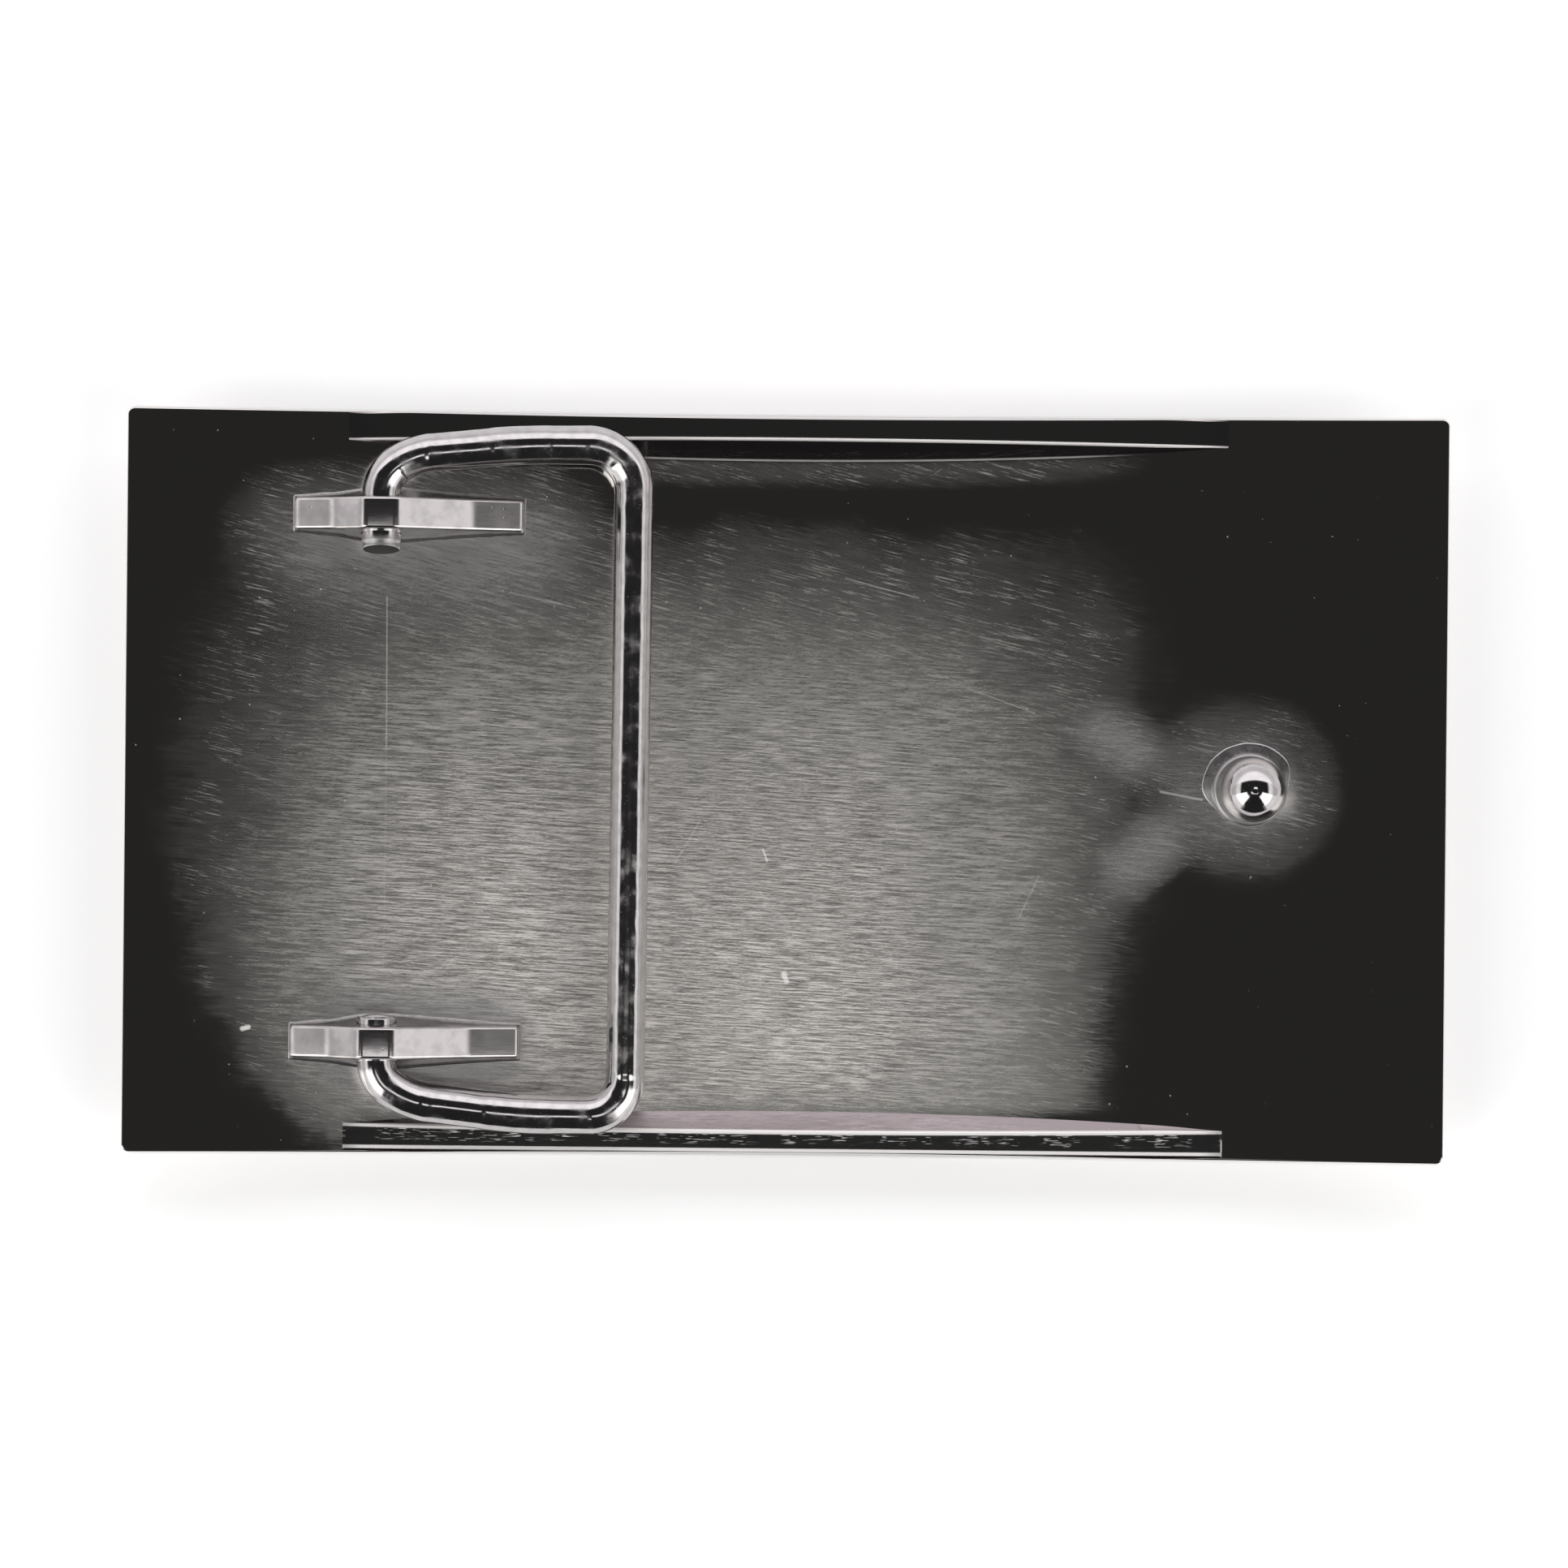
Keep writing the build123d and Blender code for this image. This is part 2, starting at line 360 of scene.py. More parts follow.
def brushed_zone(g, place):
    """How bright the brushing makes each spot: most in the middle of the lower half, none at the ends."""
    x, y, _ = g.split(place)
    blotch = g.noise(place, 0.13, detail=4, roughness=0.6)
    soft_x = g.math("MULTIPLY_ADD", blotch, 7.0, g.math("SUBTRACT", x, 3.5))
    soft_y = g.math("MULTIPLY_ADD", blotch, 5.0, g.math("SUBTRACT", y, 2.5))
    lower_part = g.step(soft_y, 4.0, -20.0)
    left = g.step(g.math("MULTIPLY_ADD", lower_part, -4.0, soft_x), -46.6, -19.5)
    right_middle = g.math("MULTIPLY_ADD", lower_part, -3.8, 16.5)
    right_half_width = g.math("MULTIPLY_ADD", lower_part, -2.8, 15.5)
    right = g.step(g.math("DIVIDE", g.math("SUBTRACT", right_middle, soft_x), right_half_width), -1.0, 1.0)
    rise = g.math("DIVIDE", g.math("ADD", soft_y, 20.0), 39.0, clamp=True)
    upward = g.math("SUBTRACT", 1.0, g.math("POWER", rise, 1.32))
    corner = g.math("MULTIPLY_ADD", g.math("MINIMUM", g.math("ADD", x, 30.5), 0.0), 0.57, soft_y)
    return g.product(left, right, upward, g.step(corner, -28.0, -17.5), 0.37)


def heated_areas(g, place):
    """(area, share, level) of each spot that brazing hazed: where, how fully, and how bright."""
    y = g.split(place)[1]
    lower_y = pivot.y - ear_offset
    upper_foot = g.near_line(place, (ear_low.x + 3, upper_ear_y), (ear_high.x - 2, upper_ear_y), 0.5, 9.5)
    upper_foot = g.product(upper_foot, g.step(y, 23.5, 16.5))
    lower_foot = g.near_line(place, (ear_low.x + 4, lower_y), (ear_high.x - 3, lower_y), 1.2, 5.0)
    halo = g.near_line(place, (stud_x, 0.0), (stud_x - 0.1, 0.0), 0.0, 8.0)
    halo = g.product(halo, g.math("MULTIPLY_ADD", g.noise(place, 0.45, detail=3), 0.9, 0.55))
    areas = [(upper_foot, 0.88, 0.20), (lower_foot, 0.75, 0.13), (halo, 0.85, 0.155)]
    # Two tails and two lobes beside the stud: start and end from its axis, reach, share and level.
    for start, end, reach, share, level in (
        ((-7.6, 2.4), (-4.0, 1.0), 3.0, 0.65, 0.095),
        ((-6.4, -3.9), (-3.6, -1.6), 3.0, 0.65, 0.10),
        ((-9.8, 3.9), (-8.2, 2.7), 3.0, 0.80, 0.155),
        ((-8.2, -5.4), (-6.4, -3.9), 2.9, 0.80, 0.155),
    ):
        start = stud_x + start[0], start[1]
        end = stud_x + end[0], end[1]
        areas.append((g.near_line(place, start, end, 0.0, reach), share, level))
    return areas


def rail_foot_zones(g, place):
    """The shade beside both rails' inner feet, and the light band and thin painted highlight line at the upper
    rail's foot.
    """
    x, y, _ = g.split(place)
    foot = g.math("MULTIPLY_ADD", g.product(x, x), RAIL_FOOT_CURVE, rail_inner_middle - RAIL_INNER_RUN)
    shade = g.step(g.math("SUBTRACT", g.math("ABSOLUTE", y), foot), -1.0, -0.1)
    shade = g.product(shade, g.step(g.math("ABSOLUTE", x), rail_high.x + 0.5, rail_high.x - 2.0))
    below = g.math("SUBTRACT", foot, y)
    span = g.product(g.step(x, -14.0, -8.0), g.step(x, 27.0, 18.0))
    band = g.product(g.step(below, 0.0, 0.4), g.step(below, 2.6, 0.6), span)
    # Painted highlight: a thin line at the upper rail's foot, painted near white later among the marks.
    line = g.product(g.step(below, 0.16, 0.08), g.step(below, -0.05, 0.03), span)
    return shade, band, line


def plate_marks(g, place, lit, foot_highlight_line):
    """Scratches, specks, nicks and curved hooks in the back, and the painted highlight line at the upper
    rail's foot.
    """
    scratches = []
    for start, end, inner, outer, depth in PLATE_MARKS:
        scratches.append(g.product(g.near_line(place, start, end, inner, outer), depth))
    speck_cells = g.cells(place, 1.7)
    speck_zone = g.step(g.noise(place, 0.20, detail=2), 0.34, 0.64)
    chosen = g.step(g.split(speck_cells["Color"])[0], 0.86, 0.97)
    specks = g.product(g.step(speck_cells["Distance"], 0.14, 0.04), speck_zone, chosen)
    nicks = g.drawn(place, (1.3, 0.06, 1.0), turn=-8.0, detail=2, roughness=0.5)
    nicks = g.product(g.step(nicks, 0.70, 0.78), g.step(g.noise(place, 0.3, detail=2), 0.46, 0.62), lit)
    hooks = g.drawn(place, (1.6, 0.06, 1.0), turn=31.0, detail=2, roughness=0.5, distortion=0.4)
    hooks = g.product(g.step(hooks, 0.74, 0.81), g.step(g.noise(place, 0.21, detail=2), 0.5, 0.62), lit)
    fine = specks, g.product(nicks, 0.8), g.product(hooks, 0.7), g.product(foot_highlight_line, 0.9)
    return g.largest(*scratches, *fine)


def brushed_back(name):
    """Polished at the ends and along the top, dull and finely brushed in the middle, hazed by brazing.

    The pattern is built up as the brightness that each spot should have under the studio light, and turned
    into roughness at the end; it also sets where the painted sheen of the brushed streaks shows in the colour.
    """
    material, g, shader = metal(name)
    place = g.millimetres()
    bright = brushed_zone(g, place)
    amounts = []
    for area, share, level in heated_areas(g, place):
        amount = g.product(area, share)
        bright = g.math("MULTIPLY_ADD", g.math("SUBTRACT", level, bright), amount, bright)
        amounts.append(amount)
    haze = g.largest(*amounts)

    hair = g.drawn(place, (2.3, 0.10, 1.0), turn=-3.0, detail=3, roughness=0.7)
    crossing = g.drawn(place, (2.2, 0.13, 1.0), turn=20.0, detail=3, roughness=0.7)
    slanting = g.drawn(place, (2.4, 0.10, 1.0), turn=-14.0, detail=4, roughness=0.7)
    grain = g.drawn(place, (0.30, 0.12, 1.0), detail=2, roughness=0.8)
    high_up = g.step(g.split(place)[1], 4.0, 17.0)
    mostly = g.math("ADD", g.product(slanting, high_up), g.product(hair, g.math("SUBTRACT", 1.0, high_up)))
    streaks = g.total(g.product(mostly, 0.74), g.product(crossing, 0.12), g.product(grain, 0.14))
    streaks = g.step(streaks, 0.36, 0.64)
    calm = g.math("SUBTRACT", 1.0, g.product(haze, 0.45))
    contrast = g.math("MULTIPLY_ADD", g.product(g.math("SUBTRACT", streaks, 0.5), calm), 0.65, 1.0)
    cloudy = g.math("MULTIPLY_ADD", g.noise(place, 0.55, detail=3, roughness=0.6), 0.30, 0.85)
    shade, foot_band, foot_highlight_line = rail_foot_zones(g, place)
    bright = g.product(bright, contrast, cloudy, g.math("MULTIPLY_ADD", shade, -0.7, 1.0))
    bright = g.math("MULTIPLY_ADD", g.product(foot_band, contrast), 0.05, bright)

    lit = g.step(bright, 0.006, 0.05)
    dull = g.step(bright, 0.04, 0.20)
    rubbed = g.step(g.noise(place, 0.35, detail=3), 0.38, 0.62)
    dashes = g.product(g.step(slanting, 0.56, 0.64), lit, g.math("SUBTRACT", 1.0, dull), rubbed)
    bright = g.math("MULTIPLY_ADD", dashes, 0.20, bright)
    marks = plate_marks(g, place, lit, foot_highlight_line)
    unmirrored = g.product(g.step(bright, 0.0, 0.03), 0.09)
    rough = g.total(0.04, unmirrored, g.product(bright, 1.13), g.product(marks, 0.42))
    g.feed(shader.inputs["Roughness"], g.math("MINIMUM", rough, 0.75))

    stain = g.noise(place, 0.4, detail=5, roughness=0.6)
    tone = g.mix(g.step(stain, 0.3, 0.75), (0.585, 0.575, 0.545), (0.605, 0.585, 0.56))
    # Painted sheen: the light and dark streaks in the colour stand for the light that the brushing scatters.
    grooves_and_painted_sheen = g.mix(streaks, (0.36, 0.35, 0.325), (0.97, 0.94, 0.90))
    fine_grooves = g.drawn(place, (0.9, 0.075, 1.0), turn=-4.0, detail=3, roughness=0.7)
    grooves_and_painted_sheen = g.mix(g.step(fine_grooves, 0.56, 0.72), grooves_and_painted_sheen, (1.0, 0.98, 0.95))
    grooves_and_painted_sheen = g.mix(g.step(fine_grooves, 0.42, 0.28), grooves_and_painted_sheen, (0.28, 0.27, 0.25))
    # The streaks' painted sheen shows most where the brightness under the studio light is high.
    depth = g.math("MULTIPLY_ADD", dull, 0.85, g.product(lit, 0.12))
    tone = g.mix(g.product(depth, calm), tone, grooves_and_painted_sheen)
    tone = g.mix(g.product(haze, 0.5), tone, (0.60, 0.605, 0.63))
    # Painted glints: the real scratches, specks, nicks and hooks are painted near white, and so is the painted
    # highlight line at the upper rail's foot.
    tone = g.mix(g.product(marks, 0.8), tone, (1.0, 0.99, 0.97))
    g.feed(shader.inputs["Base Color"], tone)

    height = g.total(g.product(g.math("SUBTRACT", streaks, 0.5), dull, calm), g.product(marks, -0.6))
    bump(g, shader, height, 0.25, 0.008)
    return material


def sawn_wire_end_and_painted_dark_cut(g, place):
    """1 on the sawn end of the wire that stands out of the upper ear, and up to 2 on its cut face, which looks
    to −Y and gets painted shade, near black.
    """
    x, y, _ = g.split(place)
    stub = g.product(g.step(y, upper_ear_y - 1.3, upper_ear_y - 1.8), g.step(x, pivot.x + 3, pivot.x + 2))
    stub = g.product(stub, g.step(y, 0.0, 1.0))
    facing = g.split(g.node("ShaderNodeTexCoord").outputs["Normal"])[1]
    return g.math("ADD", stub, g.product(stub, g.step(facing, -0.6, -0.85)))


def raw_stud_foot(g, place):
    """1 on the stud's collar and neck, and part of that on the ball's sides, which are less well polished."""
    z = g.split(place)[2]
    neck_top, bright_cap, dull_sides = stud_high.z - 4.9, stud_high.z - 0.6, stud_high.z - 1.6
    foot = g.step(z, neck_top, neck_top - 0.3)
    return g.largest(foot, g.product(g.step(z, bright_cap, dull_sides), 0.9))


def polished(name, colour, dull_share=0.25, ripple=0.6, ripple_mm=0.010, raw_and_painted_dark_cut=None):
    """Bright plate with faint ripples, rubbed patches and a few specks, bare metal where the mask gives 1, and
    painted shade, near black, on the wire's cut face where it gives 2.
    """
    material, g, shader = metal(name)
    place = g.millimetres()
    rubbed = g.step(g.noise(place, 0.8, detail=4), 0.45, 0.75)
    specks = g.step(g.cells(place, 3.1)["Distance"], 0.11, 0.04)
    fine = g.noise(place, 9.0, detail=3, roughness=0.7)
    haze = g.product(rubbed, dull_share * 0.4), g.product(fine, dull_share * 0.2)
    rough = g.total(0.05, *haze, g.product(specks, 0.25))
    darker = tuple(0.86 * c for c in colour)
    tone = g.mix(g.step(g.noise(place, 1.4, detail=4), 0.35, 0.7), colour, darker)
    if raw_and_painted_dark_cut:
        unpolished_and_painted_dark_cut = raw_and_painted_dark_cut(g, place)
        rough = g.total(rough, g.product(unpolished_and_painted_dark_cut, g.math("MULTIPLY_ADD", fine, 0.3, 0.18)))
        tone = g.mix(g.product(unpolished_and_painted_dark_cut, 0.5), tone, tuple(0.62 * c for c in colour))
        # Painted shade: where the mask reaches 2, the wire's cut face is painted near black.
        tone = g.mix(g.step(unpolished_and_painted_dark_cut, 1.0, 2.0), tone, tuple(0.16 * c for c in colour))
    g.feed(shader.inputs["Roughness"], rough)
    g.feed(shader.inputs["Base Color"], tone)
    grainy = g.product(g.noise(place, 3.2, detail=3, roughness=0.65), 0.16 * dull_share)
    waves = g.total(g.noise(place, 0.55, detail=2), grainy, g.product(specks, -0.15))
    bump(g, shader, waves, ripple, ripple_mm)
    return material


def rail_metal(name):
    """Polished bars with a painted highlight line along the inner edge, over a little real edge wear, and
    walls painted darker as shade; the lower one also has real chatter marks painted near white as glints, a
    painted highlight line along its outer top edge and a near-black painted shade on its outer flank.
    """
    material, g, shader = metal(name)
    place = g.millimetres()
    x, y, z = g.split(place)
    share = g.math("ABSOLUTE", g.math("DIVIDE", x, rail_high.x))
    edge_y = g.math("MULTIPLY_ADD", g.math("POWER", share, 2.0), -RAIL_INNER_BOW, rail_inner_middle)
    off_edge = g.math("ABSOLUTE", g.math("SUBTRACT", g.math("ABSOLUTE", y), edge_y))
    on_top = g.step(z, rail_high.z - 0.20, rail_high.z - 0.10)
    lower = g.step(y, -20.0, -22.0)
    reach = g.math("MULTIPLY_ADD", lower, 0.09, 0.16)
    edge = g.product(g.step(g.math("DIVIDE", off_edge, reach), 1.0, 0.6), on_top)
    outer_edge = rail_outer_y - RAIL_LEAN - 0.15
    off_outer = g.math("ABSOLUTE", g.math("SUBTRACT", g.math("ABSOLUTE", y), outer_edge))
    outer_highlight_line = g.product(g.step(off_outer, 0.15, 0.08), on_top, lower)
    fine = g.noise(place, 7.0, detail=3, roughness=0.7)
    chatter = g.drawn(place, (1.1, 0.07, 1.0), detail=1, roughness=0.5)
    beat = g.drawn(place, (2.5, 4.0, 4.0), detail=2)
    inner_half = g.step(g.math("ABSOLUTE", y), back_half_width - 0.7, back_half_width - 1.1)
    chatter = g.product(g.step(chatter, 0.60, 0.66), g.step(beat, 0.42, 0.56), lower, inner_half, on_top)
    # Painted highlights and glints: the inner edge line, over a little real wear, the lower rail's outer line
    # and its real chatter marks are painted near white below.
    worn = g.largest(edge, outer_highlight_line, chatter)
    g.feed(shader.inputs["Roughness"], g.total(0.05, g.product(fine, 0.02), g.product(worn, 0.60)))
    # Painted shade: the walls below the top are painted a darker mauve than the top.
    painted_wall_shade = g.step(z, rail_high.z - 0.05, rail_high.z - 0.25)
    bare = g.mix(painted_wall_shade, (0.52, 0.51, 0.50), (0.42, 0.375, 0.405))
    # Painted shade: the lower rail's outer flank is painted near black.
    outer_top = rail_outer_y - RAIL_LEAN
    flank = g.step(g.math("ABSOLUTE", y), outer_top - 0.01, outer_top + 0.04)
    bare = g.mix(g.product(flank, lower), bare, (0.06, 0.045, 0.045))
    g.feed(shader.inputs["Base Color"], g.mix(worn, bare, (1.0, 0.98, 0.97)))
    bump(g, shader, g.noise(place, 0.4, detail=2), 0.5, 0.005)
    return material


def polished_front(name):
    """The worn side and the plate's edges: bright, lightly scratched, with painted shade, near black, along
    the lower edge.
    """
    material, g, shader = metal(name)
    place = g.millimetres()
    rubbing = g.drawn(place, (9.0, 0.3, 1.0), turn=3.0, detail=4, roughness=0.6)
    crossing = g.drawn(place, (7.0, 0.25, 1.0), turn=38.0, detail=3, roughness=0.6)
    lines = g.largest(g.step(rubbing, 0.60, 0.75), g.step(crossing, 0.66, 0.78))
    smear = g.noise(place, 0.16, detail=4)
    g.feed(shader.inputs["Roughness"], g.total(0.05, g.product(lines, 0.10), g.product(smear, 0.05)))
    y = g.split(place)[1]
    # Painted shade: near black along the plate's lower edge.
    lower_edge_painted_shade = g.step(y, 0.15 - front_half_width, 0.04 - front_half_width)
    bright = g.mix(g.step(smear, 0.3, 0.7), (0.60, 0.585, 0.57), (0.66, 0.65, 0.64))
    g.feed(shader.inputs["Base Color"], g.mix(lower_edge_painted_shade, bright, (0.13, 0.10, 0.10)))
    bump(g, shader, lines, 0.2, 0.004)
    return material


def cast_metal(name):
    """Softly blasted castings: satin, with a warm grey cast and small dents."""
    material, g, shader = metal(name)
    place = g.millimetres()
    grain = g.noise(place, 14.0, detail=4, roughness=0.7)
    brush = g.drawn(place, (1.6, 0.10, 1.0), detail=3, roughness=0.6)
    worn = g.step(g.noise(place, 0.9, detail=3), 0.4, 0.7)
    rough = g.total(0.10, g.product(brush, 0.10), g.product(worn, 0.05))
    g.feed(shader.inputs["Roughness"], rough)
    g.feed(shader.inputs["Base Color"], g.mix(worn, (0.50, 0.478, 0.478), (0.42, 0.397, 0.404)))
    dents = g.step(g.cells(place, 1.3)["Distance"], 0.14, 0.02)
    height = g.total(g.product(grain, 0.25), g.product(brush, 0.35), g.product(dents, -0.5))
    bump(g, shader, height, 0.35, 0.012)
    return material


def braze_metal(name):
    """Plated braze: duller than the rest, with soft flow marks and pits."""
    material, g, shader = metal(name)
    place = g.millimetres()
    flow = g.noise(place, 2.6, detail=4, roughness=0.6, distortion=0.6)
    pits = g.step(g.cells(place, 3.4)["Distance"], 0.18, 0.06)
    g.feed(shader.inputs["Roughness"], g.total(0.22, g.product(flow, 0.16), g.product(pits, 0.2)))
    tone = g.mix(g.step(flow, 0.35, 0.65), (0.38, 0.37, 0.38), (0.48, 0.465, 0.45))
    g.feed(shader.inputs["Base Color"], tone)
    bump(g, shader, g.total(flow, g.product(pits, -0.6)), 0.4, 0.012)
    return material


# ---------------------------------------------------------------- pieces


def face_plate(back_material, front_material):
    """A box with rounded corners and edges, cut across every millimetre and bent to the plate's radius."""
    corner_round, back_round, front_bevel, corner_bow = 0.5, 0.12, 0.3, 0.14
    half_thick = PLATE_THICKNESS / 2 - 0.005
    work = bmesh.new()
    bmesh.ops.create_cube(work, size=2)
    for vertex in work.verts:
        x, y, z = vertex.co
        vertex.co = Vector((x * half_length, y * front_half_width, z * half_thick))

    def bevel(edges, offset, segments):
        bmesh.ops.bevel(work, geom=edges, offset=offset, segments=segments, profile=0.5, affect="EDGES")

    def edges_at(height):
        return [e for e in work.edges if all(abs(v.co.z - height) < 1e-4 for v in e.verts)]

    bevel([e for e in work.edges if abs(e.verts[0].co.z - e.verts[1].co.z) > half_thick], corner_round, 6)
    bevel(edges_at(-half_thick), front_bevel, 4)
    bevel(edges_at(half_thick), back_round, 4)
    for i in range(1, int(2 * half_length)):
        everything = work.verts[:] + work.edges[:] + work.faces[:]
        cut = Vector((i - half_length, 0, 0))
        bmesh.ops.bisect_plane(work, geom=everything, plane_co=cut, plane_no=(1, 0, 0), dist=1e-4)
    for vertex in work.verts:
        x, y, z = vertex.co
        depth = half_thick - z
        lean = back_half_width + (front_half_width - back_half_width) * depth / PLATE_THICKNESS
        bow = corner_bow * abs(y / front_half_width) ** 5 * abs(x / half_length) ** 12
        x -= math.copysign(bow, x)
        bent_z = bend_centre_z - math.sqrt((bend_radius + depth) ** 2 - x * x)
        vertex.co = Vector((x, y * lean / front_half_width, bent_z)) * MM
    mesh = bpy.data.meshes.new("plate_body")
    bmesh.ops.recalc_face_normals(work, faces=work.faces)
    work.to_mesh(mesh)
    work.free()
    piece = finish_piece("plate_body", mesh, back_material, "plate", "face_plate")
    mesh.materials.append(front_material)
    for polygon in mesh.polygons:
        polygon.material_index = 0 if polygon.normal.z > 0.7 else 1
    return piece


def edge_rail(name, side, node, material):
    """A straight flat-topped bar along a long edge, which fades into the plate at both ends."""
    top_z = rail_high.z
    half = rail_high.x
    middle_height = top_z - back_z(0)
    sunk, edge_round, fade, end_step, end_tuck = 0.35, 0.13, 5.0, -0.03, 0.16
    slope = RAIL_INNER_RUN / middle_height
    cuts, end_cut = 150, 0.04
    stations = [-half, end_cut - half]
    stations += [-half + 2 * half * i / cuts for i in range(1, cuts)]
    stations += [half - end_cut, half]
    rings = []
    for x in stations:
        plate = back_z(x)
        faded = smooth_step(half - fade, half, abs(x))
        top = top_z - (top_z - back_z(half) - end_step) * faded
        inner = rail_inner_middle - RAIL_INNER_BOW * (x / half) ** 2
        foot_y = rail_outer_y - end_tuck * faded
        outer = foot_y - RAIL_LEAN * (top - plate) / middle_height
        corners = [(inner - slope * (top - plate + sunk), plate - sunk), (inner, top), (outer, top)]
        corners.append((foot_y, plate - sunk))
        round_here = min(edge_round, 0.6 * max(0.0, top - plate) + 0.01)
        outline = rounded_outline(corners, [0.02, round_here, round_here * 0.7, 0.02])
        rings.append([(x, side * p.x, p.y) for p in outline])
    return mesh_piece(name, *loft(rings), material, "plate", "rail", node)


def ear_profile(x):
    """Height of an ear's top at x: a flat crest, then a steep shoulder and a gentler slope each way."""
    crest_half, end_height = 1.1, 0.80

    def sharp(at):
        away = abs(at - pivot.x) - crest_half
        if away <= 0:
            return ear_high.z
        front = at < pivot.x
        end_x = ear_low.x if front else ear_high.x
        run_share, drop_share = (0.42, 0.608) if front else (0.58, 0.655)
        run = abs(end_x - pivot.x) - crest_half
        drop = ear_high.z - back_z(end_x) - end_height
        knee_run, knee_drop = run * run_share, drop * drop_share
        if away < knee_run:
            return ear_high.z - knee_drop * away / knee_run
        return ear_high.z - knee_drop - (drop - knee_drop) * (away - knee_run) / (run - knee_run)

    spread = [sharp(x + 0.09 * k) for k in range(-3, 4)]
    return sum(spread) / len(spread)


def loop_ear(name, side, node, material):
    """A cast lug: arched from the side, a long diamond in plan, bored for the wire."""
    edge_round, end_round, sunk, station_step = 0.22, 0.28, 0.3, 0.15
    middle_y = pivot.y + side * ear_offset
    stations = [(ear_low.x + end_round + station_step * i, 0.0) for i in range(200)]
    stations = [s for s in stations if s[0] < ear_high.x - end_round]
    angles = [math.radians(15 * k) for k in range(6, -1, -1)]
    rounding = [(end_round * (1 - math.sin(a)), end_round * (1 - math.cos(a))) for a in angles]
    front = [(ear_low.x + run, inset) for run, inset in rounding]
    back = [(ear_high.x - run, inset) for run, inset in reversed(rounding)]
    rings = []
    for x, inset in front + stations + back:
        top = ear_profile(x) - 0.35 * inset
        low = back_z(x) - sunk
        half_top = EAR_FACE_HALF - inset
        half_low = half_top + EAR_DRAFT * (top - low)
        corners = [(-half_low, low), (-half_top, top), (half_top, top), (half_low, low)]
        outline = rounded_outline(corners, [0.02, edge_round, edge_round, 0.02], steps=6)
        rings.append([(x, middle_y + p.x, p.y) for p in outline])
    piece = mesh_piece(name, *loft(rings), material, "plate", "ear", node, weighted=False)
    bore(piece, Vector((pivot.x, middle_y, pivot.z)), WIRE_RADIUS + 0.05)
    return piece


def bore(piece, centre, radius):
    """Cuts a round hole along Y through the piece."""
    cutter_mesh = bpy.data.meshes.new("cutter")
    work = bmesh.new()
    turn = Matrix.Translation(centre * MM) @ Matrix.Rotation(math.pi / 2, 4, "X")
    bmesh.ops.create_cone(
        work, cap_ends=True, segments=64, radius1=radius * MM, radius2=radius * MM, depth=8 * MM, matrix=turn
    )
    work.to_mesh(cutter_mesh)
    work.free()
    cutter = bpy.data.objects.new("cutter", cutter_mesh)
    bpy.context.scene.collection.objects.link(cutter)
    cut = piece.modifiers.new("bore", "BOOLEAN")
    cut.operation, cut.solver, cut.object = "DIFFERENCE", "EXACT", cutter
    bpy.context.view_layer.update()
    graph = bpy.context.evaluated_depsgraph_get()
    result = bpy.data.meshes.new_from_object(piece.evaluated_get(graph))
    piece.modifiers.clear()
    piece.data = result
    bpy.data.objects.remove(cutter)
    bpy.data.meshes.remove(cutter_mesh)
    shade_smooth(result)
    keep_flats(piece, 42)


def filleted_path(points, radii, bend_step, run_step):
    """2-D points along straight runs joined by tangent arcs, each with its bend: 0 on runs, 1 on arcs."""
    path = []

    def run(start, end):
        pieces = max(1, round((end - start).length / run_step))
        path.extend((start.lerp(end, i / pieces), 0.0) for i in range(pieces))

    here = Vector(points[0])
    for i, radius in enumerate(radii, start=1):
        corner = Vector(points[i])
        back = (Vector(points[i - 1]) - corner).normalized()
        ahead = (Vector(points[i + 1]) - corner).normalized()
        half = back.angle(ahead) / 2
        reach = radius / math.tan(half)
        start, end = corner + back * reach, corner + ahead * reach
        run(here, start)
        centre = corner + (back + ahead).normalized() * (radius / math.sin(half))
        turn = math.pi - 2 * half
        pieces = max(3, round(turn * radius / bend_step))
        for k in range(pieces):
            direction = (start - centre).slerp(end - centre, k / pieces).normalized()
            path.append((centre + direction * radius, 1.0))
        here = end
    run(here, Vector(points[-1]))
    path.append((Vector(points[-1]), 0.0))
    return path


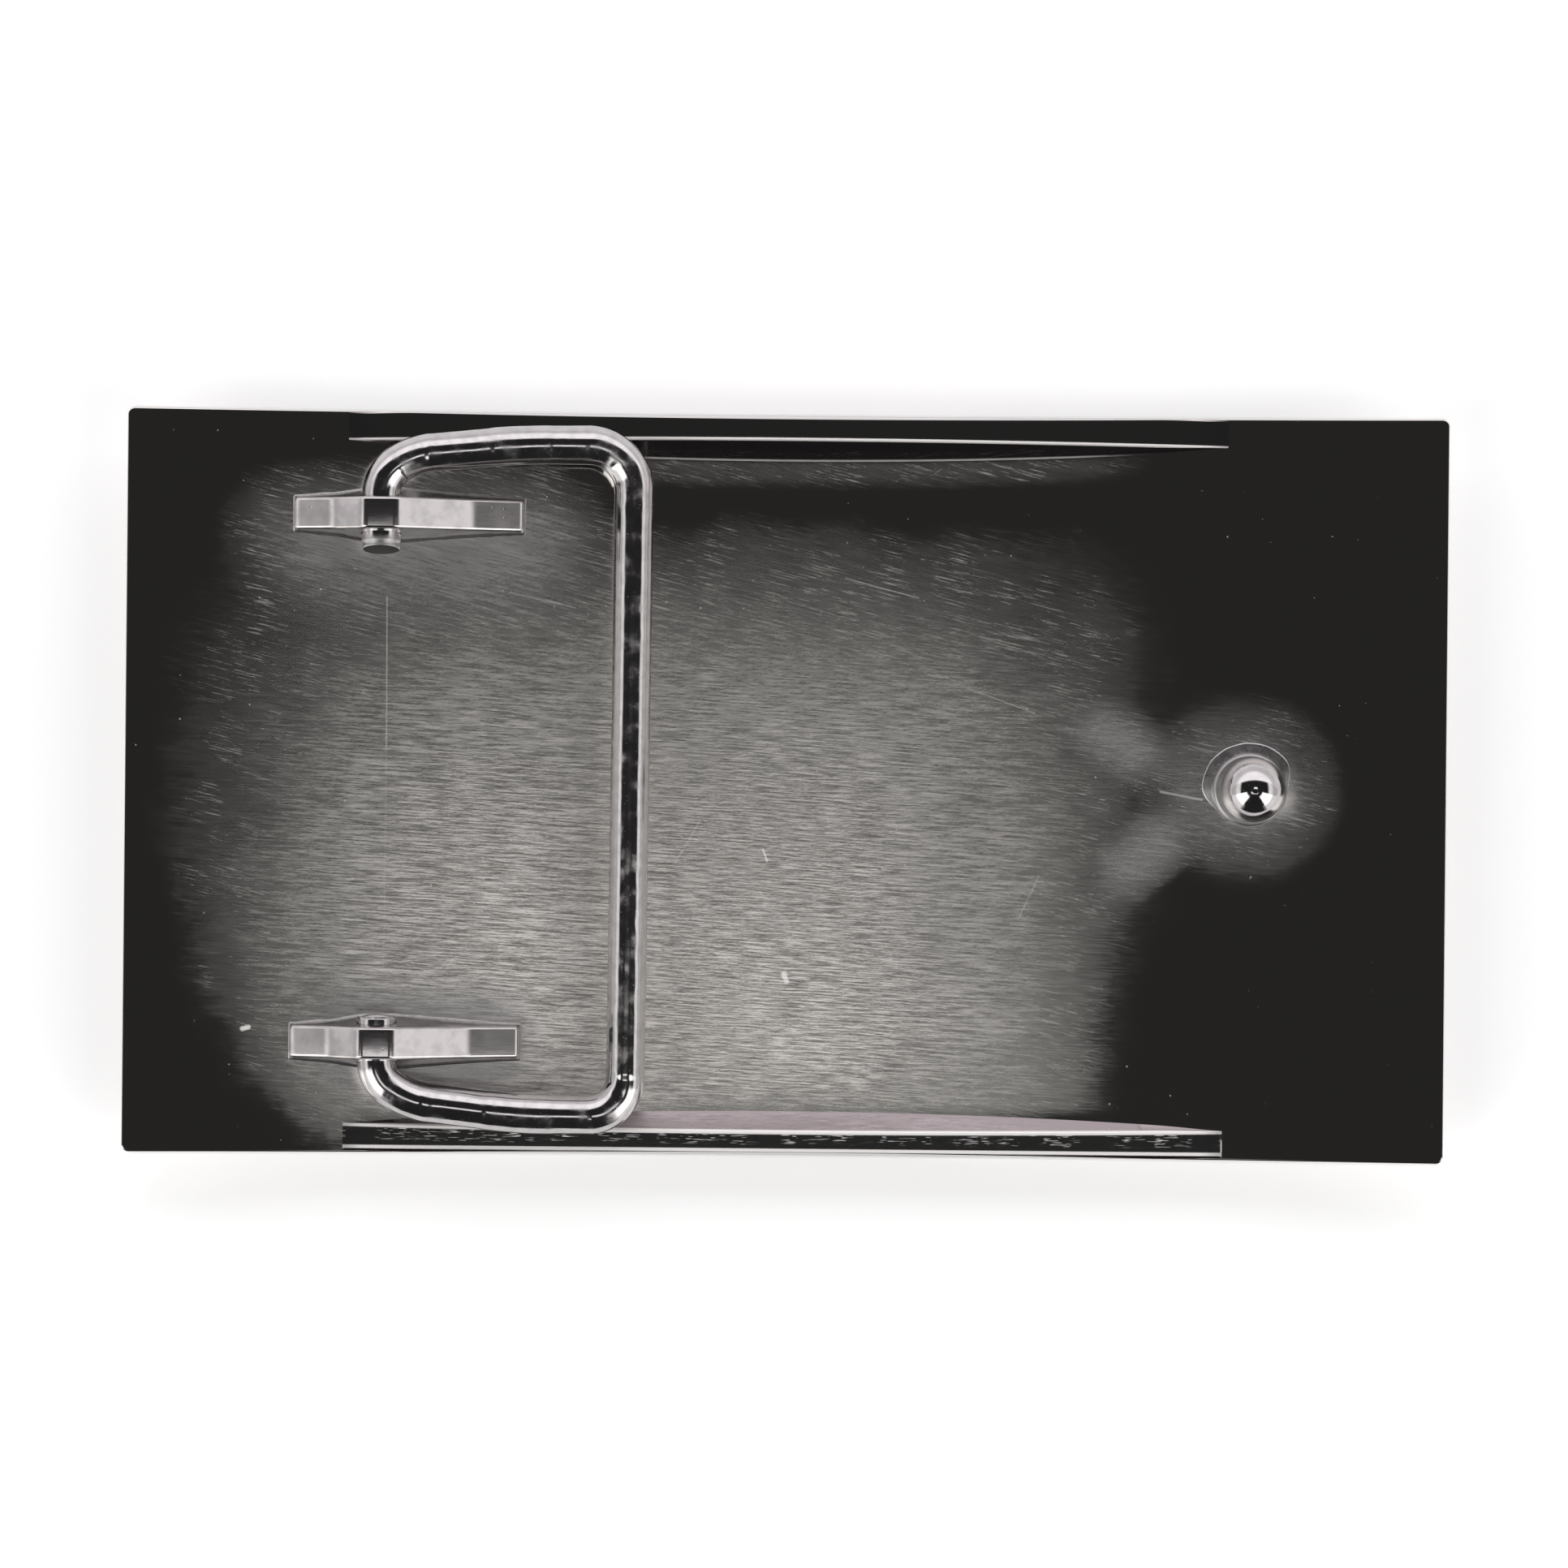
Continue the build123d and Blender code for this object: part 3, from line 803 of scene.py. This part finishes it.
def wire_loop(material):
    """The bent wire: nearly round, a little uneven along its length, flattened a hair in its outer bends."""
    reach_x = loop_high.x - WIRE_RADIUS - pivot.x
    drop = pivot.z - WIRE_RADIUS - loop_low.z
    tilt, reach = math.atan2(drop, reach_x), math.hypot(reach_x, drop)
    half_width = (loop_high.y - loop_low.y) / 2 - WIRE_RADIUS
    shoulder = half_width - 0.55
    upper_end, lower_end = ear_offset - 2.5, ear_offset - 1.95
    knee = 0.55 * reach
    # Corners from the upper end round to the lower, and the bend radius at each but the two ends.
    points = [(0, upper_end), (0, shoulder - 1.7), (2.1, shoulder - 0.2), (knee, half_width)]
    points += [(reach - 0.22, half_width), (reach - 0.50, -half_width)]
    points += [(knee, -half_width), (2.3, 0.3 - shoulder), (0, 1.8 - shoulder), (0, -lower_end)]
    radii = [2.4, 5.0, 40.0, 3.1, 2.5, 40.0, 5.6, 2.2]
    path = filleted_path(points, radii, 0.16, 0.2)
    centres = [p for p, _ in path]
    count = len(centres)
    rings = []
    for i, (centre, bend) in enumerate(path):
        ahead = (centres[min(i + 1, count - 1)] - centres[max(i - 1, 0)]).normalized()
        across = Vector((ahead.y, -ahead.x))
        ring = []
        for angle in around(40):
            side, rise = math.cos(angle), math.sin(angle)
            spoke = Vector((across.x * side, across.y * side, rise))
            spot = Vector((centre.x, centre.y, 0)) + spoke * WIRE_RADIUS
            uneven = 0.020 * noise.noise(spot * 0.33) + 0.007 * noise.noise(spot * 1.1 + Vector((9, 0, 0)))
            in_bore = smooth_step(1.9, 1.2, abs(abs(centre.y) - ear_offset)) if abs(centre.x) < 1 else 0.0
            radius = WIRE_RADIUS - 0.012 + uneven * (1 - in_bore)
            squeeze = 0.035 * bend if abs(centre.x) > 3 else 0.0
            ring.append((centre, across, side * radius * (1 + squeeze * 0.3), rise * radius * (1 - squeeze)))
        rings.append(ring)
    dents = loop_dents(reach, half_width)
    turn = Matrix.Rotation(tilt, 3, "Y")
    placed = []
    for ring in rings:
        new_ring = []
        for centre, across, side, rise in ring:
            point = Vector((centre.x + across.x * side, centre.y + across.y * side, rise))
            for middle, size, depth in dents:
                near = smooth_step(size, 0.0, (point - middle).length)
                inward = Vector((centre.x, centre.y, 0)) - point
                point += inward.normalized() * depth * near
            new_ring.append(turn @ point + pivot)
        placed.append(new_ring)
    under_cut = 3
    placed = cut_end(placed[0], turn) + placed[under_cut:-1] + domed_end(placed[-1])
    return mesh_piece("strap_loop", *loft(placed), material, "loop", "wire", "wire_loop", weighted=False)


def loop_dents(reach, half_width):
    """(middle, size, depth) of the small marks that bending and polishing left, in the loop's own plane."""
    seeded = random.Random(7)
    r = WIRE_RADIUS
    dents = []
    for corner, spread, count in ((half_width - 1.9, 1.0, 24), (2.2 - half_width, 0.8, 12)):
        for _ in range(count):
            spot = Vector((reach - 1.9 + seeded.gauss(0, spread), corner + seeded.gauss(0, spread), 0.7 * r))
            dents.append((spot, seeded.uniform(0.3, 0.7), seeded.uniform(0.015, 0.045)))
    for _ in range(26):
        along = seeded.uniform(-half_width + 3, half_width - 3)
        angle = seeded.uniform(0.15, 0.85) * math.pi
        spot = Vector((reach + r * math.cos(angle), along, r * math.sin(angle)))
        dents.append((spot, seeded.uniform(0.55, 1.1), seeded.uniform(0.008, 0.025)))
    return dents


def cut_end(first, turn):
    """The wire's upper end: swollen a little by the cutter, with a flat, slanting face."""
    trim, cut_slant, slanted_run = 0.985, 0.30, 0.45
    middle = sum(first, Vector()) / len(first)
    ahead = turn @ Vector((0, 1, 0))
    swollen = []
    for offset, scale in ((0.0, 0.80), (0.04, 0.97), (0.20, 1.0), (0.40, 0.955), (0.55, 0.975)):
        ring = []
        for point in first:
            spoke = (point - middle) * scale * trim
            slant = cut_slant * spoke.z / WIRE_RADIUS * max(0.0, 1 - offset / slanted_run)
            ring.append(middle + spoke + ahead * (offset + slant))
        swollen.append(ring)
    return swollen


def domed_end(last):
    """The wire's lower end, rounded to a small dome."""
    middle = sum(last, Vector()) / len(last)
    rings = []
    for degrees in range(0, 90, 12):
        angle = math.radians(degrees)
        scale = math.cos(angle) ** 0.8
        shift = Vector((0, 0.75 * (math.sin(angle) - 1.0), 0))
        rings.append([middle + (point - middle) * scale + shift for point in last])
    return rings


def hook_stud(material):
    """Collar, neck and ball head, with the small flat that turning leaves on its tip."""
    base = back_z(stud_x)
    head_radius, collar_radius, land = 2.2, (stud_high.x - stud_low.x) / 2 - 0.03, 0.20
    collar_wall, collar_round, neck_round = 0.58, 0.22, 0.25
    collar_top = 0.80
    head_end = math.radians(83)
    centre = stud_high.z - head_radius - land
    quarter = [math.radians(degrees) for degrees in range(15, 91, 15)]
    # Radius and height of each ring, from the foot up.
    profile = [(collar_radius, base - 0.4), (collar_radius, base + collar_wall)]
    for angle in quarter:
        radius = collar_radius - collar_round * (1 - math.cos(angle))
        profile.append((radius, base + collar_wall + collar_round * math.sin(angle)))
    profile.append((STUD_NECK_RADIUS + neck_round, base + collar_top))
    for angle in quarter:
        rise = neck_round * (1 - math.cos(angle))
        profile.append((STUD_NECK_RADIUS + neck_round * (1 - math.sin(angle)), base + collar_top + rise))
    start = -math.acos(STUD_NECK_RADIUS / head_radius)
    head_cuts = 27
    for k in range(head_cuts + 1):
        angle = start + (head_end - start) * k / head_cuts
        shift = -land if angle < 0 else land
        profile.append((head_radius * math.cos(angle), centre + shift + head_radius * math.sin(angle)))
    tip = centre + land + head_radius * math.sin(head_end)
    profile += [(0.20, tip + 0.004), (0.12, tip - 0.012), (0.03, tip - 0.012)]
    rings = []
    for radius, height in profile:
        rings.append([(stud_x + radius * math.cos(a), radius * math.sin(a), height) for a in around(72)])
    return mesh_piece("strap_stud", *loft(rings), material, "plate", "stud", "hook_stud")


def stud_braze(material):
    """The thin flange of braze round the stud: its rim is uneven, and drawn in under the collar below."""
    low, high = box_mm("stud_braze")
    outer = (high.x - low.x) / 2 - 0.03
    inner = (stud_high.x - stud_low.x) / 2 - 0.15
    section = [(inner, -0.25), (inner, 0.16), (inner + 0.35, 0.06), (outer - 0.10, 0.045)]
    section += [(outer - 0.03, 0.03), (outer, 0.0), (outer, -0.25)]
    rings = []
    for angle in around(96):
        way = Vector((math.cos(angle), math.sin(angle)))
        uneven = 0.09 * noise.noise(Vector((way.x * 2.6, way.y * 2.6, 4.0))) - 0.05
        proud = 0.08 + 0.92 * smooth_step(-0.35, 0.45, way.y - 0.3 * way.x)
        ring = []
        for radius, rise in section:
            spread = max(0.0, radius - inner - 0.12)
            r = min(radius - spread * 0.94 * (1 - proud) + (uneven * proud if spread else 0), outer + 0.02)
            px, py = stud_x + r * way.x, r * way.y
            lift = rise * proud if rise > 0 else rise
            ring.append((px, py, back_z(px) + lift))
        rings.append(ring)
    return mesh_piece("stud_flange", *ring_round(rings), material, "plate", "braze", "stud_braze")


def ear_braze(name, side, node, material):
    """The fillet of braze round an ear's foot, concave and uneven, kept inside the CAD node's box."""
    low, high = box_mm(node)
    margin, hair, steps = 0.14, 0.01, 60
    middle_y = pivot.y + side * ear_offset

    def half_width(x):
        return EAR_FACE_HALF + EAR_DRAFT * (ear_profile(x) - back_z(x))

    shares = [0.5 - 0.5 * math.cos(math.pi * i / steps) for i in range(steps + 1)]
    xs = [ear_low.x + (ear_high.x - ear_low.x) * share for share in shares]
    outline = [Vector((x, half_width(x))) for x in xs]
    outline += [Vector((ear_high.x, y)) for y in (0.6, 0.0, -0.6)]
    outline += [Vector((x, -half_width(x))) for x in reversed(xs)]
    outline += [Vector((ear_low.x, y)) for y in (-0.6, 0.0, 0.6)]
    # Away from the ear's wall and up from the plate, round one cut through the fillet.
    section = [(-0.30, -0.25), (-0.30, 0.20), (-0.02, 0.18), (0.04, 0.09)]
    section += [(0.09, 0.04), (margin, 0.01), (margin, -0.2)]
    rings = []
    count = len(outline)
    for i, point in enumerate(outline):
        ahead = (outline[(i + 1) % count] - outline[i - 1]).normalized()
        out = Vector((-ahead.y, ahead.x))
        reach = 0.75 + 0.35 * noise.noise(Vector((point.x * 0.8, point.y, side * 5.0)))
        ring = []
        for away, rise in section:
            scale = reach if away > 0 else 1
            p = point + out * away * scale
            px = min(max(p.x, low.x + hair), high.x - hair)
            py = min(max(middle_y + p.y, low.y + hair), high.y - hair)
            ring.append((px, py, back_z(px) + rise * (0.6 + 0.4 * reach)))
        rings.append(ring)
    return mesh_piece(name, *ring_round(rings), material, "plate", "braze", node)


# ---------------------------------------------------------------- studio


def studio_light():
    """A pale room, dark overhead and on its near side and dimmer near the horizon; it looks flat and pale."""
    world = bpy.data.worlds.new("studio")
    bpy.context.scene.world = world
    world.use_nodes = True
    g = Graph(world.node_tree)
    way = g.node("ShaderNodeTexCoord").outputs["Generated"]
    x, y, z = g.split(way)
    up = g.math("MAXIMUM", z, 0.001)
    sheet_x = g.math("DIVIDE", x, up)
    sheet_y = g.math("DIVIDE", y, up)
    off_x = g.math("ABSOLUTE", sheet_x)

    far = g.step(sheet_y, 0.62, 0.78)
    sides = g.step(off_x, 1.05, 1.45)
    room = g.math("MAXIMUM", far, g.product(sides, 0.75))
    bearing = g.math("ARCTAN2", off_x, g.math("MULTIPLY", sheet_y, -1.0))
    near_gap = g.step(bearing, math.radians(26), math.radians(38))
    room = g.product(room, near_gap)
    tilt = g.math("SQRT", g.total(g.product(sheet_x, sheet_x), g.product(sheet_y, sheet_y)))
    room = g.product(room, g.step(tilt, 1.8, 3.4, 1.0, 0.55))
    box_out = g.product(g.step(tilt, 0.50, 0.62), g.step(bearing, math.radians(34), math.radians(38)))
    box_end = g.step(bearing, math.radians(78), math.radians(72))
    soft_boxes = g.product(box_out, box_end, g.step(tilt, 1.8, 3.4, 1.0, 0.25))
    off_bar = g.math("ABSOLUTE", g.math("ADD", sheet_y, 0.17))
    bar = g.product(g.step(off_x, 0.24, 0.17), g.step(off_bar, 0.09, 0.05))
    dark, room_level, box_level, bar_level = 0.028, 1.75, 2.4, 1.6
    lamps = g.product(room, room_level), g.product(soft_boxes, box_level), g.product(bar, bar_level)
    level = g.total(dark, *lamps)
    pale = g.mix(far, (1.0, 0.99, 0.98), (1.0, 0.975, 0.995))

    seen = g.node("ShaderNodeLightPath").outputs["Is Camera Ray"]
    background = world.node_tree.nodes["Background"]
    g.feed(background.inputs["Color"], g.mix(seen, pale, (0.93, 0.93, 0.93)))
    strength = g.total(g.product(level, g.math("SUBTRACT", 1.0, seen)), seen)
    g.feed(background.inputs["Strength"], strength)


def pale_floor():
    """A matt white sheet under the part, lit a little from within so that it stays pale in the dark room."""
    material = bpy.data.materials.new("pale_floor")
    material.use_nodes = True
    g = Graph(material.node_tree)
    shader = material.node_tree.nodes["Principled BSDF"]
    shader.inputs["Roughness"].default_value = 0.9
    shader.inputs["Specular IOR Level"].default_value = 0.1
    paper = g.noise(g.millimetres(), 0.05, detail=2)
    g.feed(shader.inputs["Base Color"], g.mix(paper, (0.94, 0.94, 0.94), (0.92, 0.92, 0.92)))
    shader.inputs["Emission Color"].default_value = (1.0, 1.0, 1.0, 1.0)
    shader.inputs["Emission Strength"].default_value = 0.32
    half = 4.0
    corners = [(-half, -half, 0), (half, -half, 0), (half, half, 0), (-half, half, 0)]
    mesh = bpy.data.meshes.new("floor")
    mesh.from_pydata(corners, [], [(0, 1, 2, 3)])
    mesh.materials.append(material)
    floor = bpy.data.objects.new("floor", mesh)
    bpy.context.scene.collection.objects.link(floor)


def camera_overhead():
    """Straight above the back, with the long lens of a product table and a hair of roll."""
    height, view_width, roll = 500.0, 106.4, 0.55
    lens_width = 36.0
    data = bpy.data.cameras.new("camera")
    data.sensor_width = lens_width
    data.lens = lens_width * height / view_width
    data.clip_start, data.clip_end = 0.01, 50
    camera = bpy.data.objects.new("camera", data)
    bpy.context.scene.collection.objects.link(camera)
    camera.location = Vector((-0.1, 0.1, plate_high.z + height)) * MM
    camera.rotation_euler = (0, 0, math.radians(roll))
    bpy.context.scene.camera = camera


back_finish = brushed_back("brushed_nickel_back")
front_finish = polished_front("polished_nickel_front")
rail_finish = rail_metal("polished_rail")
wire_finish = polished("polished_wire", BRIGHT_NICKEL, dull_share=0.5, ripple_mm=0.014, raw_and_painted_dark_cut=sawn_wire_end_and_painted_dark_cut)
stud_finish = polished("polished_stud", BRIGHT_NICKEL, dull_share=0.15, ripple_mm=0.004, raw_and_painted_dark_cut=raw_stud_foot)
ear_finish = cast_metal("satin_casting")
braze_finish = braze_metal("plated_braze")

face_plate(back_finish, front_finish)
edge_rail("top_rail", 1, "upper_edge_rail", rail_finish)
edge_rail("bottom_rail", -1, "lower_edge_rail", rail_finish)
loop_ear("top_lug", 1, "upper_loop_ear", ear_finish)
loop_ear("bottom_lug", -1, "lower_loop_ear", ear_finish)
ear_braze("top_lug_braze", 1, "upper_ear_braze", braze_finish)
ear_braze("bottom_lug_braze", -1, "lower_ear_braze", braze_finish)
wire_loop(wire_finish)
hook_stud(stud_finish)
stud_braze(braze_finish)

studio_light()
pale_floor()
camera_overhead()
bpy.context.scene.view_settings.view_transform = "Standard"
